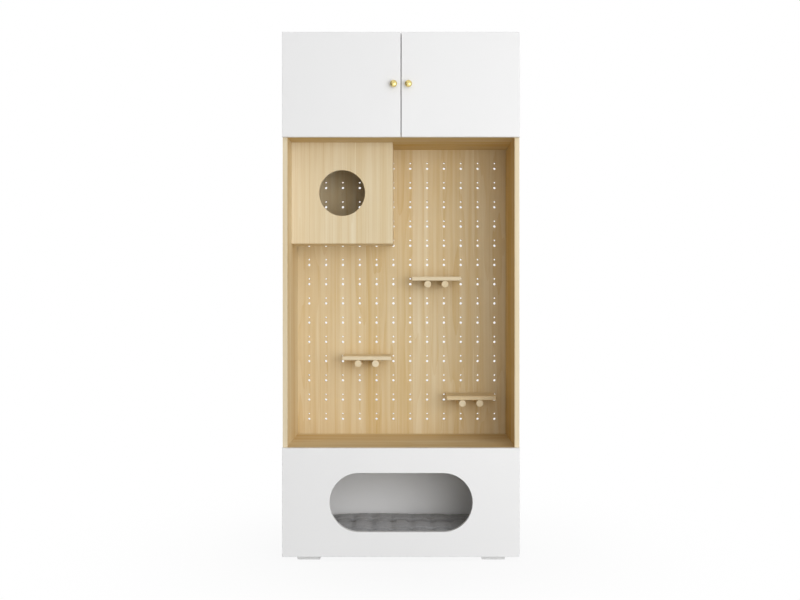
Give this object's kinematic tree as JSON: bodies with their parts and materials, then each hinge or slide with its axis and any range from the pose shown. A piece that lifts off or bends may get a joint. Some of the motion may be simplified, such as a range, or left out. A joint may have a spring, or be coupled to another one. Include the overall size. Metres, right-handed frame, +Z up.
{
  "type": "cat cabinet",
  "caption": "Tall cat cabinet: a cupboard with hinged doors above an open wooden pegboard middle with a round-holed cubby and pull-out steps, on a bed box with a long opening and a cushion.",
  "frame": {"origin": "on the floor, under the middle of the whole cabinet", "axes": "-Y is the front with the doors, +X is to the right seen from the front, +Z is up"},
  "size_m": [0.9, 0.425, 2.005],
  "materials": {
    "white_lacquer": "satin white lacquer",
    "light_wood": "clear matt oil on edge-glued pine",
    "spline_wood": "raw plywood",
    "foot_grey": "matt pale grey",
    "grey_fabric": "soft tufted plush",
    "brass": "polished",
    "steel": "nickel plated"
  },
  "bodies": {
    "cabinet": {"bottom_board": "white_lacquer", "lower_left_side": "white_lacquer", "lower_right_side": "white_lacquer", "lower_back_panel": "white_lacquer", "lower_front_panel": "white_lacquer", "upper_left_side": "white_lacquer", "upper_right_side": "white_lacquer", "upper_back_panel": "white_lacquer", "top_board": "white_lacquer", "middle_floor": "light_wood", "middle_left_side": "light_wood", "middle_right_side": "light_wood", "pegboard": "light_wood", "middle_ceiling": "light_wood", "cubby_front": "light_wood", "cubby_right_side": "light_wood", "cubby_bottom": "light_wood", "carcass_splines": "spline_wood", "cubby_splines": "spline_wood", "front_left_foot": "foot_grey", "front_right_foot": "foot_grey", "rear_left_foot": "foot_grey", "rear_right_foot": "foot_grey", "foot_screws": "steel", "bed_cushion": "grey_fabric", "left_hinge_arms": "steel", "right_hinge_arms": "steel", "left_hinge_plates": "steel", "right_hinge_plates": "steel", "hinge_plate_screws": "steel", "hinge_arm_screws": "steel"},
    "left_door": {"left_door": "white_lacquer", "left_knob": "brass", "left_knob_screw": "steel", "left_hinge_cups": "steel", "left_hinge_pins": "steel"},
    "right_door": {"right_door": "white_lacquer", "right_knob": "brass", "right_knob_screw": "steel", "right_hinge_cups": "steel", "right_hinge_pins": "steel"},
    "upper_step": {"upper_step_board": "light_wood", "upper_step_pegs": "light_wood", "upper_step_pins": "steel", "upper_step_screws": "steel"},
    "middle_step": {"middle_step_board": "light_wood", "middle_step_pegs": "light_wood", "middle_step_pins": "steel", "middle_step_screws": "steel"},
    "lower_step": {"lower_step_board": "light_wood", "lower_step_pegs": "light_wood", "lower_step_pins": "steel", "lower_step_screws": "steel"}
  },
  "joints": [
    {"name": "left_door_hinge", "type": "hinge", "parent": "cabinet", "child": "left_door", "pos_m": [-0.4428, -0.1805, 1.8065], "axis": [0, 0, -1], "range_deg": [0, 95]},
    {"name": "right_door_hinge", "type": "hinge", "parent": "cabinet", "child": "right_door", "pos_m": [0.4428, -0.1805, 1.8065], "axis": [0, 0, 1], "range_deg": [0, 95]},
    {"name": "upper_step_pull", "type": "slide", "parent": "cabinet", "child": "upper_step", "axis": [0, -1, 0], "range_m": [0, 0.45]},
    {"name": "middle_step_pull", "type": "slide", "parent": "cabinet", "child": "middle_step", "axis": [0, -1, 0], "range_m": [0, 0.45]},
    {"name": "lower_step_pull", "type": "slide", "parent": "cabinet", "child": "lower_step", "axis": [0, -1, 0], "range_m": [0, 0.45]}
  ]
}
